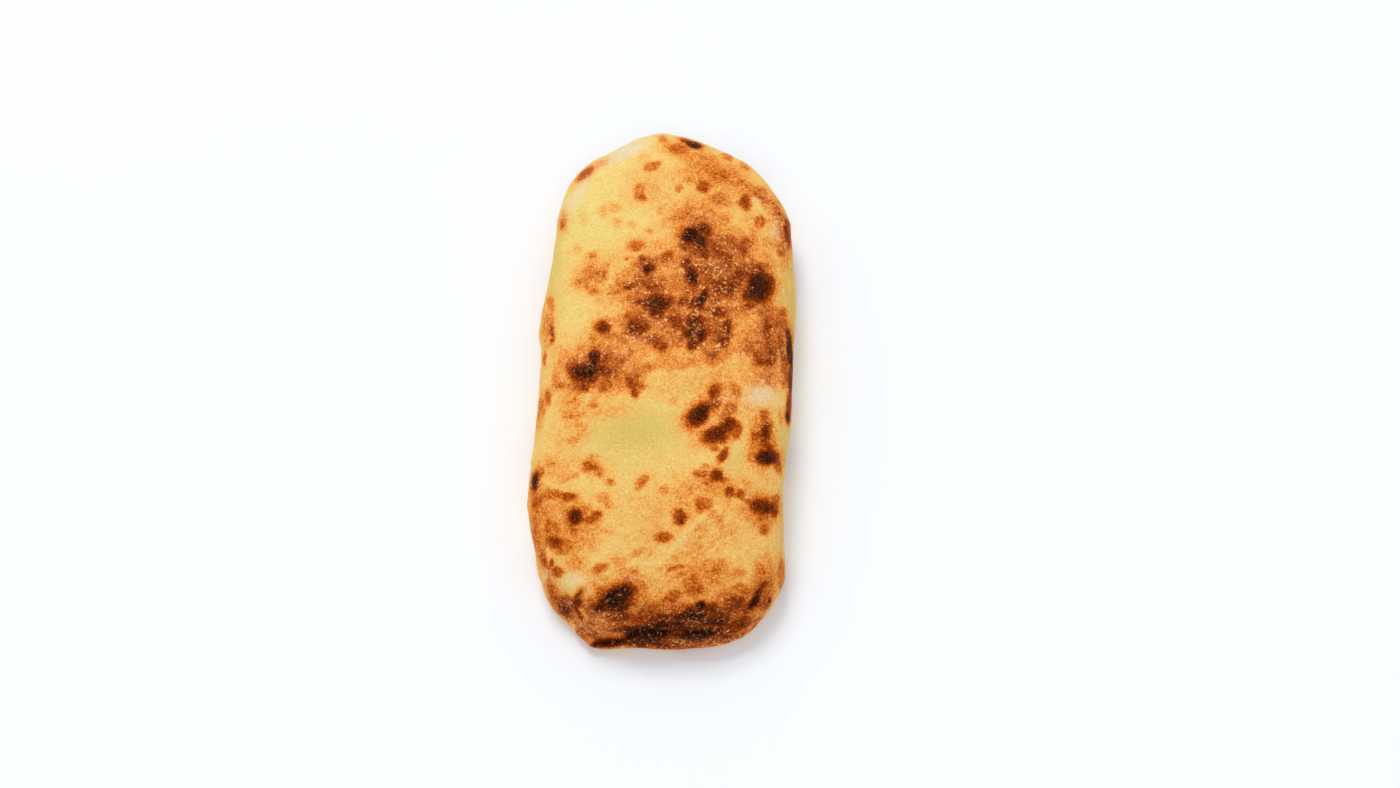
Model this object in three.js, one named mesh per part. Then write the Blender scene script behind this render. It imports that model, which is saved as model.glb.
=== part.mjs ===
// A pizza bread roll: one long, flat loaf of puffed dough, baked on a hot stone.
// Millimetres, +Z up. The long axis runs along Y, and the end with the folded seam, the near end, is at -Y.
// The origin is on the base, under the middle of the loaf.
import * as THREE from "three";
import { mergeVertices } from "three/addons/utils/BufferGeometryUtils.js";

const { lerp, smoothstep } = THREE.MathUtils;

// Driving dimensions
const LENGTH = 222;
const WIDTH = 108.5;
const HEIGHT = 45;

// The smooth form under the relief
const WAIST = { sides: 0.42, nearEnd: 0.16 }; // height of the widest line above the base, in loaf heights
const UNDERCUT = 1.57; // depth of the rounding below the waist, in waist heights: the stone cuts it off flat
const PLAN_SQUARENESS = { far: 2.6, near: 4 }; // exponent of the outline seen from above, at each end
const PROFILE_SQUARENESS = 2.6; // exponent of the section through the loaf
const LEAN = 3; // how far the far end lies to the right of the near end
const NEAR_END = { seamStarts: 0.78, waistStarts: 0.5 }; // share of the half-length where each begins to change

// Surface cells
const CELL = 4.7; // edge of a cell on the top and the base, about
const ROWS = 20; // of cells round the side, from the base up to the top
const SEAM_TIGHTNESS = 0.3; // how much closer the rows lie beside the seam, from 0 to 1

// The seam runs round the side where the top of the dough was folded over its base.
// Its height is a share of the half-height, from -1 to 1, above or below the waist.
const SEAM_HEIGHT = { side: 0.26, nearLeft: -0.05, nearRight: 0.5 };
const SEAM_HALF_WIDTH = 0.1; // of the rows' range from -1 to 1

// Places where the seam is pinched in: centre in shares of the half-width and half-length,
// reach along the outline and depth in millimetres
const SEAM_PINCHES = {
  nearEndLeft: { at: [-0.22, -0.98], reach: 24, depth: 5 },
  nearEndRight: { at: [0.46, -0.97], reach: 16, depth: 4 },
  nearRightCorner: { at: [0.9, -0.8], reach: 16, depth: 2.5 },
  rightSide: { at: [1, 0.24], reach: 18, depth: 2.5 },
  farRightShoulder: { at: [0.88, 0.75], reach: 20, depth: 2.5 },
  leftPocket: { at: [-1, -0.31], reach: 7, depth: 3.5 },
};

// Swellings, and dents with a rise below 0: centre and reach in shares of the half-width, the half-length
// and the height, rise out of the surface in millimetres
const SWELLS = {
  nearLeftLobe: { at: [-0.96, -0.53, 0.49], reach: [0.35, 0.18, 0.44], rise: 2.8 },
  leftSide: { at: [-1, -0.08, 0.44], reach: [0.27, 0.26, 0.44], rise: -1 },
  nearLeftCorner: { at: [-0.92, -0.82, 0.3], reach: [0.15, 0.1, 0.4], rise: 1.4 },
  nearLeftNotch: { at: [-0.72, -0.97, 0.2], reach: [0.1, 0.07, 0.3], rise: -2.4 },
  nearRightCorner: { at: [0.92, -0.785, 0.36], reach: [0.2, 0.09, 0.4], rise: 3 },
  nearLip: { at: [0.04, -0.96, 0.07], reach: [0.88, 0.15, 0.16], rise: 3.2 },
  nearLipLeft: { at: [-0.5, -0.97, 0.07], reach: [0.18, 0.06, 0.16], rise: 2 },
  nearLipRight: { at: [0.5, -0.97, 0.07], reach: [0.18, 0.06, 0.16], rise: 0.4 },
  nearLeftTuck: { at: [-0.74, -0.9, 0.42], reach: [0.11, 0.08, 0.24], rise: -3.6 },
  rightWaist: { at: [1.02, -0.47, 0.44], reach: [0.27, 0.25, 0.44], rise: -3.3 },
  rightNotch: { at: [1.02, 0.46, 0.44], reach: [0.2, 0.1, 0.44], rise: -1.4 },
  farRightShoulder: { at: [0.92, 0.6, 0.49], reach: [0.27, 0.35, 0.44], rise: 4.8 },
  farLeftShoulder: { at: [-0.79, 0.76, 0.49], reach: [0.27, 0.15, 0.4], rise: 3 },
  leftFlank: { at: [-1, 0.44, 0.44], reach: [0.27, 0.22, 0.44], rise: -2.4 },
  leftBlister: { at: [-1.02, 0.18, 0.53], reach: [0.15, 0.06, 0.22], rise: 0.9 },
  farTip: { at: [-0.04, 1, 0.49], reach: [0.13, 0.09, 0.44], rise: 1.2 },
  farLeftCheek: { at: [-0.42, 0.95, 0.49], reach: [0.27, 0.11, 0.53], rise: -2.2 },
  farRightCheek: { at: [0.46, 0.95, 0.49], reach: [0.33, 0.11, 0.53], rise: -3.2 },
  middleHollow: { at: [-0.23, -0.15, 1], reach: [0.46, 0.11, 0.31], rise: -1.6 },
};

// Slow unevenness of hand-shaped dough: wavelengths along X, Y and Z, phase and height
const WAVES = [
  { lengths: [61, 83, 70], phase: 0.6, height: 0.4 },
  { lengths: [34, 47, 40], phase: 2.1, height: 0.3 },
];

// The seam's height at a place on the box that the loaf is shaped from
function seamHeight(u, v) {
  const onNearEnd = smoothstep(-v, NEAR_END.seamStarts, 1);
  const across = lerp(SEAM_HEIGHT.nearLeft, SEAM_HEIGHT.nearRight, (u + 1) / 2);
  return lerp(SEAM_HEIGHT.side, across, onNearEnd);
}

// Takes a point of the box from -1 to 1 each way to the loaf's smooth form
function smoothForm(u, v, row) {
  const packed = row - (SEAM_TIGHTNESS * Math.sin(Math.PI * row)) / Math.PI;
  const w = packed + seamHeight(u, v) * (1 - packed * packed);
  const plan = lerp(PLAN_SQUARENESS.near, PLAN_SQUARENESS.far, smoothstep(v, -1, 1));
  const outline = (Math.abs(u) ** plan + Math.abs(v) ** plan) ** (1 / plan);
  const profile = PROFILE_SQUARENESS;
  const scale = 1 / (outline ** profile + Math.abs(w) ** profile) ** (1 / profile);
  const onNearEnd = smoothstep(-v, NEAR_END.waistStarts, 1);
  const waist = HEIGHT * lerp(WAIST.sides, WAIST.nearEnd, onNearEnd);
  const up = w * scale * (w > 0 ? HEIGHT - waist : UNDERCUT * waist);
  return new THREE.Vector3(
    (u * scale * WIDTH + v * scale * LEAN) / 2,
    (v * scale * LENGTH) / 2,
    Math.max(0, waist + up),
  );
}

// 1 at zero distance, falling off smoothly to 0 as the distances grow past 1
const nearness = (...distances) => Math.exp(-distances.reduce((sum, distance) => sum + distance ** 2, 0));

// How deep the seam is pinched in at a point
function pinch(point, row) {
  let depth = 0;
  for (const { at, reach, depth: deepest } of Object.values(SEAM_PINCHES)) {
    const across = point.x - (at[0] * WIDTH) / 2;
    const along = point.y - (at[1] * LENGTH) / 2;
    depth = Math.max(depth, deepest * nearness(across / reach, along / reach));
  }
  return depth * nearness(row / SEAM_HALF_WIDTH);
}

// How far the crust stands out of the smooth form at a point
function rise(point, row) {
  let height = -pinch(point, row);
  const shares = [(2 * point.x) / WIDTH, (2 * point.y) / LENGTH, point.z / HEIGHT];
  for (const { at, reach, rise: most } of Object.values(SWELLS)) {
    height += most * nearness(...shares.map((share, axis) => (share - at[axis]) / reach[axis]));
  }
  for (const { lengths, phase, height: most } of WAVES) {
    const turn = (distance, axis) => (2 * Math.PI * distance) / lengths[axis] + phase * (axis + 1);
    height += most * Math.sin(turn(point.x, 0)) * Math.sin(turn(point.y, 1)) * Math.cos(turn(point.z, 2));
  }
  return height;
}

// Brings a geometry to the driving dimensions, centred over the origin
function fitToSize(geometry) {
  geometry.computeBoundingBox();
  const size = geometry.boundingBox.getSize(new THREE.Vector3());
  const middle = geometry.boundingBox.getCenter(new THREE.Vector3());
  geometry.translate(-middle.x, -middle.y, 0);
  geometry.scale(WIDTH / size.x, LENGTH / size.y, HEIGHT / size.z);
}

// The loaf as one closed surface, shaped from a box of even cells
function loafGeometry() {
  const [across, along] = [WIDTH, LENGTH].map((size) => Math.round(size / CELL));
  const box = new THREE.BoxGeometry(2, 2, 2, across, along, ROWS);
  box.deleteAttribute("normal");
  box.deleteAttribute("uv");
  const geometry = mergeVertices(box);
  const place = geometry.getAttribute("position");
  const rows = Array.from({ length: place.count }, (_, i) => place.getZ(i));
  for (let i = 0; i < place.count; i++) {
    const { x, y, z } = smoothForm(place.getX(i), place.getY(i), place.getZ(i));
    place.setXYZ(i, x, y, z);
  }
  geometry.computeVertexNormals();
  const normal = geometry.getAttribute("normal");
  const point = new THREE.Vector3();
  const out = new THREE.Vector3();
  for (let i = 0; i < place.count; i++) {
    point.fromBufferAttribute(place, i);
    if (point.z === 0) continue; // the base stays flat
    out.fromBufferAttribute(normal, i);
    point.addScaledVector(out, rise(point, rows[i]));
    place.setXYZ(i, point.x, point.y, Math.max(0, point.z));
  }
  geometry.deleteAttribute("normal");
  fitToSize(geometry);
  return geometry;
}

const crust = new THREE.MeshStandardMaterial({ color: 0xe8b766, roughness: 0.7, metalness: 0 });
const loaf = new THREE.Mesh(loafGeometry(), crust);
loaf.name = "loaf";

const roll = new THREE.Group();
roll.add(loaf);

export default roll;
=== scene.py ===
import math
from collections import namedtuple

import bmesh
import bpy
import numpy as np
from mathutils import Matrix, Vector, noise
from mathutils.bvhtree import BVHTree


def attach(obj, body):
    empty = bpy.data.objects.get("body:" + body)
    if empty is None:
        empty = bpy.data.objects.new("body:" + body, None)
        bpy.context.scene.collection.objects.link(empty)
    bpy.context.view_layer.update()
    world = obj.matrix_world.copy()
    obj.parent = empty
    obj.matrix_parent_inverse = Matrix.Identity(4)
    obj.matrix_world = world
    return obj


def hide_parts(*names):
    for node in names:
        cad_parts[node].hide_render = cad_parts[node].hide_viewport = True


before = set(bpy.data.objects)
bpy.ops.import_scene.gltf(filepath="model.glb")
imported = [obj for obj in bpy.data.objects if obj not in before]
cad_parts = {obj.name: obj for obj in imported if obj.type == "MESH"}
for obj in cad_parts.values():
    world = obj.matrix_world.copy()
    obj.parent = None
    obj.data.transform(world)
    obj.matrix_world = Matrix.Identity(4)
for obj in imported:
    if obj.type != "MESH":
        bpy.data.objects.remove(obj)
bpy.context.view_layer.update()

# A pizza bread roll on a pale floor, seen from above its near end.
# Metres, in the frame of the CAD part: +Y along the loaf, +Z up, the folded seam at -Y.
MM = 0.001

# The picture, and the camera that took it
PICTURE_WIDTH, PICTURE_HEIGHT = 1400, 788
LENS_MM, SENSOR_MM = 50, 36
CAMERA_ELEVATION = math.radians(68)
CAMERA_DISTANCE = 793 * MM
CAMERA_AIM = np.array((14.4, -7.4, 18)) * MM
NEAREST_SEEN = 10 * MM
PIXELS_PER_RADIAN = LENS_MM / SENSOR_MM * PICTURE_WIDTH
PIXEL = CAMERA_DISTANCE / PIXELS_PER_RADIAN  # size of a pixel at the loaf

# The crust's mesh
CELL = 0.85 * MM
WELD_DISTANCE = 0.01 * MM
WIDEST_JOIN = math.radians(60)  # between two triangles that become one face
SUBDIVISIONS = 2

# Places on the crust are pixels of the picture. A mark has its centre, across and down, its half-sizes,
# its turn in degrees from the horizontal, and its strength: 0 is raw dough and 1 is burnt black.
# Marks are listed in groups, from the far end to the near end, and many are called after their looks.
Mark = namedtuple("Mark", "across down long wide turn strength")

# Broad toasting; along the near seam and foot, partly painted shade in the crease and where the lip meets
# the floor
BLOOMS = {
    "far tip": Mark(676, 146, 17, 8, -15, 0.48),
    "far ochre": Mark(704, 160, 24, 13, -15, 0.42),
    "far middle": Mark(694, 210, 30, 16, 0, 0.45),
    "far middle, arch": Mark(696, 174, 26, 10, 0, 0.4),
    "far middle, right": Mark(718, 219, 14, 8, 0, 0.5),
    "far right": Mark(728, 176, 32, 14, -25, 0.47),
    "far top": Mark(652, 182, 30, 28, 0, 0.23),
    "far row": Mark(722, 198, 16, 10, 0, 0.46),
    "right shoulder": Mark(766, 198, 18, 8, -42, 0.52),
    "right shoulder's edge": Mark(782, 226, 10, 36, 6, 0.56),
    "right shoulder, low": Mark(757, 222, 18, 12, 0, 0.3),
    "right shoulder's bank": Mark(768, 243, 9, 7, 0, 0.44),
    "big upper's glow": Mark(698, 236, 26, 22, 0, 0.6),
    "big upper's top": Mark(710, 220, 18, 8, 0, 0.57),
    "upper left": Mark(618, 262, 16, 16, 0, 0.18),
    "upper left's rim": Mark(662, 242, 12, 8, 0, 0.36),
    "upper right": Mark(736, 242, 28, 13, 0, 0.55),
    "upper right, edge": Mark(765, 256, 12, 10, 0, 0.47),
    "upper triangle's glow": Mark(653, 259, 20, 8, 0, 0.6),
    "right round's top": Mark(757, 264, 16, 8, 0, 0.62),
    "upper middle": Mark(712, 270, 40, 40, 0, 0.71),
    "left reddening": Mark(594, 272, 22, 14, 30, 0.47),
    "left bridge": Mark(614, 298, 22, 18, 0, 0.36),
    "left bridge, far": Mark(622, 275, 9, 7, 0, 0.44),
    "upper streak's glow": Mark(631, 281, 13, 6, 0, 0.66),
    "upper wing": Mark(728, 286, 16, 13, 0, 0.64),
    "upper left of middle": Mark(648, 290, 25, 34, 0, 0.59),
    "under the right round": Mark(752, 307, 28, 9, 0, 0.57),
    "left edge": Mark(547, 322, 7, 28, 0, 0.44),
    "middle": Mark(688, 322, 52, 28, 0, 0.64),
    "middle's edge": Mark(616, 355, 26, 12, 0, 0.55),
    "middle's heart": Mark(649, 336, 10, 7, 0, 0.67),
    "middle's edge, right": Mark(680, 361, 28, 9, 0, 0.47),
    "middle's foot": Mark(636, 364, 22, 8, 0, 0.48),
    "ring": Mark(719, 335, 20, 22, 0, 0.58),
    "ring's right": Mark(735, 330, 8, 10, 0, 0.58),
    "ring's foot": Mark(713, 350, 9, 9, 0, 0.56),
    "ring's skirt": Mark(718, 360, 12, 7, 0, 0.48),
    "middle left": Mark(624, 334, 24, 20, 0, 0.5),
    "right flank": Mark(772, 342, 22, 32, 0, 0.6),
    "right flank's foot": Mark(770, 378, 16, 12, 0, 0.54),
    "under the ring": Mark(748, 346, 12, 12, 0, 0.65),
    "left toast": Mark(598, 364, 37, 26, 0, 0.58),
    "left toast's foot": Mark(612, 386, 20, 10, 0, 0.38),
    "left twin's left": Mark(570, 366, 7, 8, 0, 0.62),
    "left twin's foot": Mark(572, 390, 10, 8, 0, 0.52),
    "middle brown's bank": Mark(631, 372, 10, 9, 0, 0.55),
    "below the middle": Mark(655, 380, 80, 16, 0, 0.28),
    "left speckled": Mark(559, 380, 12, 12, 0, 0.44),
    "right middle": Mark(745, 386, 36, 26, 0, 0.42),
    "slippers": Mark(719, 407, 26, 20, 40, 0.48),
    "hollow's rim": Mark(600, 408, 40, 14, 0, 0.28),
    "hollow": Mark(635, 445, 80, 30, 0, 0.12),
    "left flank": Mark(569, 420, 20, 38, -8, 0.34),
    "left flank's edge": Mark(539, 412, 5, 20, -5, 0.42),
    "left mid": Mark(580, 431, 12, 8, 0, 0.38),
    "right bell": Mark(764, 440, 15, 34, 0, 0.5),
    "lower left": Mark(592, 466, 20, 11, -15, 0.34),
    "lower left flank": Mark(554, 468, 20, 20, 0, 0.33),
    "lower right": Mark(722, 484, 42, 16, 0, 0.36),
    "lower middle": Mark(686, 496, 12, 22, 0, 0.37),
    "left lower edge": Mark(535, 502, 8, 26, 0, 0.54),
    "wide mark's glow": Mark(764, 510, 23, 18, 0, 0.5),
    "near left lobe": Mark(554, 524, 30, 36, 0, 0.42),
    "near left lobe's top": Mark(578, 512, 20, 15, 0, 0.44),
    "near left lobe's skirt": Mark(580, 534, 20, 20, 0, 0.4),
    "near half": Mark(700, 515, 88, 48, 0, 0.3),
    "near left rim": Mark(552, 594, 26, 6, -66, 0.6),
    "near left rim, upper": Mark(534, 535, 6, 20, 0, 0.5),
    "near left of middle": Mark(620, 560, 13, 8, 0, 0.33),
    "near left, orange": Mark(572, 562, 12, 10, 0, 0.42),
    "near left edge": Mark(544, 566, 24, 6, -70, 0.56),
    "near orange": Mark(704, 576, 44, 25, 0, 0.39),
    "near orange, right": Mark(722, 570, 22, 10, 10, 0.43),
    "near speckles": Mark(630, 576, 12, 9, 0, 0.52),
    "near speckles, left": Mark(622, 570, 10, 6, 0, 0.42),
    "near left skirt": Mark(590, 582, 20, 12, 0, 0.36),
    "near right corner": Mark(764, 588, 16, 34, -12, 0.5),
    "near black blister's glow": Mark(618, 602, 28, 17, 28, 0.5),
    "near black blister's foot": Mark(622, 618, 24, 8, 8, 0.78),
    "near end": Mark(664, 626, 84, 18, 0, 0.6),
    "near end, right": Mark(742, 606, 30, 20, 25, 0.5),
    "near end's glow": Mark(680, 603, 86, 16, 0, 0.34),
    "near left corner": Mark(563, 609, 16, 10, -45, 0.78),
    "near middle bank": Mark(672, 610, 40, 7, 0, 0.57),
    "near left cap": Mark(592, 613, 16, 20, 0, 0.58),
    "near brown's glow": Mark(718, 616, 32, 9, -5, 0.74),
    # From here on, these marks along the near seam and foot are partly toasting and partly painted shade in
    # the crease and where the lip meets the floor
    "near middle foot": Mark(668, 621, 50, 8, 0, 0.82),
    "near right foot": Mark(738, 628, 28, 12, 25, 0.71),
    "near crease": Mark(672, 630, 60, 8, 0, 0.85),
    "near left foot": Mark(584, 632, 24, 12, -40, 0.63),
    "near foot, grey": Mark(640, 644, 40, 5, 0, 0.85),
    "near foot, right": Mark(708, 640, 26, 5, 8, 0.74),
    "near lip": Mark(660, 645, 76, 7, 0, 0.74),
}

# Scorch marks, each on a blister of its own; along the near seam and foot they are partly painted shade in
# the crease
SCORCHES_AND_SEAM_SHADE = {
    "far tip": Mark(662, 137, 6, 4, -30, 0.5),
    "far edge, black": Mark(694, 142, 8, 3.5, -20, 1),
    "far edge, thin": Mark(685, 139, 6, 2, -15, 0.75),
    "far edge, brown": Mark(678, 146, 8, 5, 0, 0.52),
    "far middle, slanted": Mark(651, 164, 8, 5, 20, 0.5),
    "far middle, end": Mark(659, 161, 3, 2.5, 0, 0.45),
    "far middle, pale": Mark(642, 155, 6, 3, 25, 0.28),
    "far middle, faint": Mark(664, 209, 4, 4, 0, 0.36),
    "far middle, fainter": Mark(665, 222, 3, 4, 0, 0.32),
    "far middle, wash": Mark(638, 188, 6, 5, 0, 0.42),
    "far right, upper": Mark(728, 155, 6, 4, -30, 0.44),
    "far right, edge": Mark(747, 165, 6, 4, -45, 0.4),
    "far left edge": Mark(584, 173, 11, 4, 42, 0.75),
    "far left edge, faint": Mark(601, 161, 9, 3, 32, 0.5),
    "far row, first": Mark(679, 186, 4, 4, 0, 0.46),
    "far row, second": Mark(690, 178, 5, 3, 0, 0.42),
    "far row, third": Mark(704, 185, 7, 6, 0, 0.62),
    "far row, fourth": Mark(716, 195, 3, 4, 0, 0.52),
    "far row, fourth's foot": Mark(718, 202, 3, 4, 0, 0.38),
    "far row, fifth": Mark(745, 200, 6, 8, 0, 0.64),
    "far row, fifth's wing": Mark(738, 200, 4, 3, 0, 0.4),
    "far row, sixth": Mark(761, 221, 5, 5, 0, 0.56),
    "far row, low": Mark(725, 221, 5, 3, 0, 0.4),
    "far comma": Mark(638, 193, 5, 5, 0, 0.5),
    "far comma's tail": Mark(643, 197, 4, 3, 0, 0.48),
    "far comma's top": Mark(641, 186, 3, 4, 0, 0.34),
    "pale left, faint": Mark(581, 218, 4, 6, 0, 0.18),
    "pale left, arch": Mark(603, 210, 4, 5, 0, 0.3),
    "pale left, arch's end": Mark(613, 207, 6, 4, 0, 0.3),
    "pale left, lower": Mark(616, 222, 5, 5, 0, 0.3),
    "pale left, right": Mark(631, 223, 4, 4, 0, 0.28),
    "pale left, small": Mark(649, 230, 4, 3, 0, 0.33),
    "pale left, low": Mark(577, 247, 4, 5, 0, 0.28),
    "left edge, upper": Mark(561, 223, 4, 6, 0, 0.6),
    "left edge, top": Mark(563, 214, 4, 5, 0, 0.46),
    "left edge, slit": Mark(551, 329, 7, 1.6, -75, 0.75),
    "left edge, slit's foot": Mark(550, 340, 3, 3, 0, 0.58),
    "left edge, low": Mark(543, 358, 2, 7, 0, 0.48),
    "left edge, red": Mark(546, 396, 3, 7, 0, 0.58),
    "big upper, core": Mark(692, 232, 9, 8, 0, 0.97),
    "big upper, left": Mark(685, 235, 5, 5, 0, 0.84),
    "big upper, right": Mark(706, 228, 7, 6, 0, 0.78),
    "big upper, middle": Mark(700, 238, 7, 6, 0, 0.86),
    "big upper, tail": Mark(703, 246, 5, 8, 0, 0.82),
    "big upper, end": Mark(706, 255, 4, 4, 0, 0.68),
    "big upper, brown": Mark(686, 246, 6, 5, 0, 0.6),
    "big upper, top": Mark(697, 226, 7, 5, 0, 0.72),
    "big upper's left": Mark(671, 251, 5, 4, 0, 0.56),
    "big upper's foot": Mark(694, 266, 5, 4, 0, 0.72),
    "big upper, top left": Mark(685, 228, 4, 3, 0, 0.62),
    "right shoulder's edge": Mark(789, 231, 4, 17, 4, 0.8),
    "upper small": Mark(636, 244, 8, 6, 0, 0.5),
    "upper right, brown": Mark(783, 249, 5, 8, 0, 0.58),
    "right brown": Mark(726, 252, 7, 5, -40, 0.66),
    "right brown's end": Mark(748, 254, 5, 4, 0, 0.48),
    "left red, upper": Mark(591, 254, 5, 4, 0, 0.45),
    "left red, middle": Mark(599, 269, 8, 5, -10, 0.55),
    "left red, lower": Mark(582, 283, 8, 6, 0, 0.48),
    "left red, line": Mark(614, 291, 9, 1.5, 15, 0.48),
    "upper slip": Mark(667, 255, 7, 5, 22, 0.66),
    "upper dot": Mark(626, 257, 2, 1.5, 0, 0.5),
    "upper triangle": Mark(649, 265, 7, 4.5, 0, 0.88),
    "upper triangle's tip": Mark(648, 271, 3, 5, 0, 0.75),
    "upper triangle's corner": Mark(644, 257, 5, 4, 0, 0.66),
    "upper left, brown": Mark(637, 262, 6, 5, 0, 0.56),
    "upper bean": Mark(693, 275, 9, 6, -62, 0.95),
    "upper bean's top": Mark(688, 263, 6, 7, 0, 0.76),
    "upper bean's flank": Mark(685, 272, 7, 6, 0, 0.66),
    "right round": Mark(759, 285, 13.5, 18, 0, 0.94),
    "right round's left": Mark(749, 293, 6, 7, 0, 0.82),
    "right round's wing": Mark(730, 285, 12, 11, 0, 0.6),
    "right round's bridge": Mark(741, 272, 7, 8, 0, 0.74),
    "right round's top": Mark(764, 265, 8, 7, 0, 0.64),
    "right round's edge": Mark(771, 282, 6, 11, 0, 0.7),
    "right round's foot": Mark(751, 303, 6, 4, 0, 0.72),
    "upper streak": Mark(629, 285, 7, 2, 5, 0.78),
    "upper streak, broad": Mark(648, 283, 10, 4, -10, 0.5),
    "left bridge, small": Mark(592, 289, 6, 5, 0, 0.44),
    "middle streak": Mark(705, 296, 11, 4, 66, 0.95),
    "middle, small": Mark(685, 299, 6, 5, 0, 0.62),
    "middle's brown": Mark(656, 334, 8, 5, 0, 0.62),
    "middle cap": Mark(656, 301, 15, 9, 0, 0.86),
    "middle cap's foot": Mark(657, 311, 8, 6, 0, 0.76),
    "middle cap's wing": Mark(640, 300, 6, 4, 0, 0.74),
    "middle cap's right": Mark(671, 302, 6, 5, 0, 0.68),
    "left edge blister": Mark(549, 302, 4, 7, 0, 0.46),
    "middle arc": Mark(699, 302, 9, 7, 0, 0.82),
    "right speckled": Mark(775, 321, 9, 10, 0, 0.5),
    "right speckled, upper": Mark(785, 311, 5, 5, 0, 0.56),
    "ring": Mark(728, 325, 5, 8, 0, 0.8),
    "ring, top": Mark(720, 311, 11, 5, -10, 0.74),
    "ring, foot": Mark(726, 340, 8, 5, 40, 0.74),
    "ring, side": Mark(714, 352, 6, 6, 0, 0.66),
    "middle left": Mark(636, 325, 11, 12, -20, 0.8),
    "middle left's shoulder": Mark(629, 313, 6, 5, 0, 0.58),
    "middle right, top": Mark(695, 317, 8, 8, 0, 0.8),
    "middle right, left": Mark(691, 329, 7, 10, 0, 0.86),
    "middle right, right": Mark(701, 333, 6, 9, 0, 0.88),
    "middle right, foot": Mark(694, 343, 7, 7, 0, 0.84),
    "left round": Mark(602, 326, 7.5, 7, 0, 0.79),
    "left round's foot": Mark(611, 332, 6, 5, 0, 0.46),
    "left round, below": Mark(591, 336, 5, 5, 0, 0.4),
    "left round's shoulder": Mark(608, 318, 4, 4, 0, 0.5),
    "middle small": Mark(673, 318, 4, 4, 0, 0.58),
    "middle slanted": Mark(660, 343, 9, 7, -40, 0.68),
    "right edge, black": Mark(792, 348, 22, 3, -84, 0.98),
    "right edge, brown": Mark(784, 345, 4, 12, 0, 0.6),
    "right edge, middle": Mark(792, 382, 3, 16, 0, 0.84),
    "right edge, inside": Mark(786, 368, 5, 16, 0, 0.6),
    "right edge, lower": Mark(791, 404, 3, 12, 0, 0.78),
    "right edge, pink": Mark(784, 416, 4, 9, 0, 0.38),
    "right edge, dot": Mark(790, 417, 2.5, 6, 0, 0.98),
    "right edge, near": Mark(783, 574, 4, 16, 0, 0.5),
    "right fork, left": Mark(757, 354, 8, 5, -65, 0.64),
    "right fork, right": Mark(773, 356, 7, 10, 0, 0.7),
    "right fork's join": Mark(764, 360, 8, 4, 0, 0.7),
    "right fork, far": Mark(746, 348, 5, 4, 0, 0.42),
    "left twin, upper": Mark(594, 355, 7, 8, 0, 0.88),
    "left twin, lower": Mark(581, 372, 13, 9.5, 8, 0.9),
    "left twin, joint": Mark(592, 367, 9, 8, 0, 0.86),
    "left twin, foot": Mark(584, 386, 6, 5, 0, 0.72),
    "left twin's right": Mark(604, 369, 7, 6, 0, 0.74),
    "left twin's lower right": Mark(603, 384, 7, 6, 0, 0.65),
    "left twin's neighbour": Mark(619, 359, 4, 6, 0, 0.56),
    "left twin's lower left": Mark(572, 385, 6, 5, 0, 0.6),
    "left twin's left": Mark(572, 369, 6, 6, 0, 0.7),
    "left twin's heel": Mark(593, 378, 5, 4, 0, 0.74),
    "middle brown": Mark(632, 378, 7, 10, 0, 0.68),
    "middle brown's foot": Mark(635, 389, 4, 5, 0, 0.72),
    "middle brown's right": Mark(639, 385, 5, 5, 0, 0.56),
    "left speckled": Mark(559, 384, 6, 3, 0, 0.52),
    "slipper's heel": Mark(714, 391, 6, 8, 0, 0.76),
    "slipper's neck": Mark(714, 401, 7, 7, 0, 0.68),
    "slipper": Mark(699, 413, 15, 9, 45, 0.93),
    "slipper's toe": Mark(720, 385, 6, 5, 0, 0.58),
    "right small": Mark(737, 388, 8, 6, -60, 0.64),
    "right small, lower": Mark(735, 405, 3.5, 6, 0, 0.5),
    "middle faint": Mark(672, 399, 5, 4, 0, 0.36),
    "hollow's rim": Mark(593, 402, 6, 4, 0, 0.42),
    "left dapple, top": Mark(572, 403, 8, 6, 0, 0.48),
    "left dapple, first": Mark(567, 415, 5, 4, 0, 0.44),
    "left dapple, second": Mark(581, 425, 7, 5, 0, 0.42),
    "left dapple, third": Mark(571, 439, 6, 4, 0, 0.45),
    "left flank, faint": Mark(565, 413, 6, 5, 0, 0.44),
    "right bell": Mark(768, 455, 12, 8, 0, 0.95),
    "right bell's stem": Mark(767, 430, 5, 11, 0, 0.8),
    "right bell's neck": Mark(772, 427, 4, 7, 0, 0.6),
    "right bell's side": Mark(756, 433, 5, 5, 0, 0.55),
    "right bell's left": Mark(753, 456, 4, 5, 0, 0.42),
    "right bell's tail": Mark(780, 465, 4, 9, 10, 0.56),
    "right bell's heart": Mark(770, 447, 5, 7, 0, 0.74),
    "right bell's top": Mark(766, 413, 5, 6, 0, 0.56),
    "banana": Mark(718, 432, 15.5, 8.5, 22, 0.84),
    "banana's end": Mark(731, 423, 7, 7, 0, 0.82),
    "banana's foot": Mark(723, 453, 8, 4.5, 62, 0.7),
    "banana's right": Mark(737, 430, 5, 6, 0, 0.6),
    "banana's belly": Mark(725, 440, 6, 4, 0, 0.62),
    "banana's tip": Mark(738, 425, 4, 6, 0, 0.62),
    "banana's heel": Mark(715, 447, 5, 3, 0, 0.56),
    "lower left": Mark(588, 465, 7.5, 6, 0, 0.58),
    "lower left's tail": Mark(597, 471, 6, 4, -25, 0.46),
    "lower left, second": Mark(609, 480, 5, 3.5, -15, 0.52),
    "lower left, faint": Mark(592, 454, 7, 3, 0, 0.36),
    "lower left, specks": Mark(609, 502, 4, 4, 0, 0.4),
    "left lobe, faint": Mark(563, 477, 6, 4, 20, 0.42),
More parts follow.
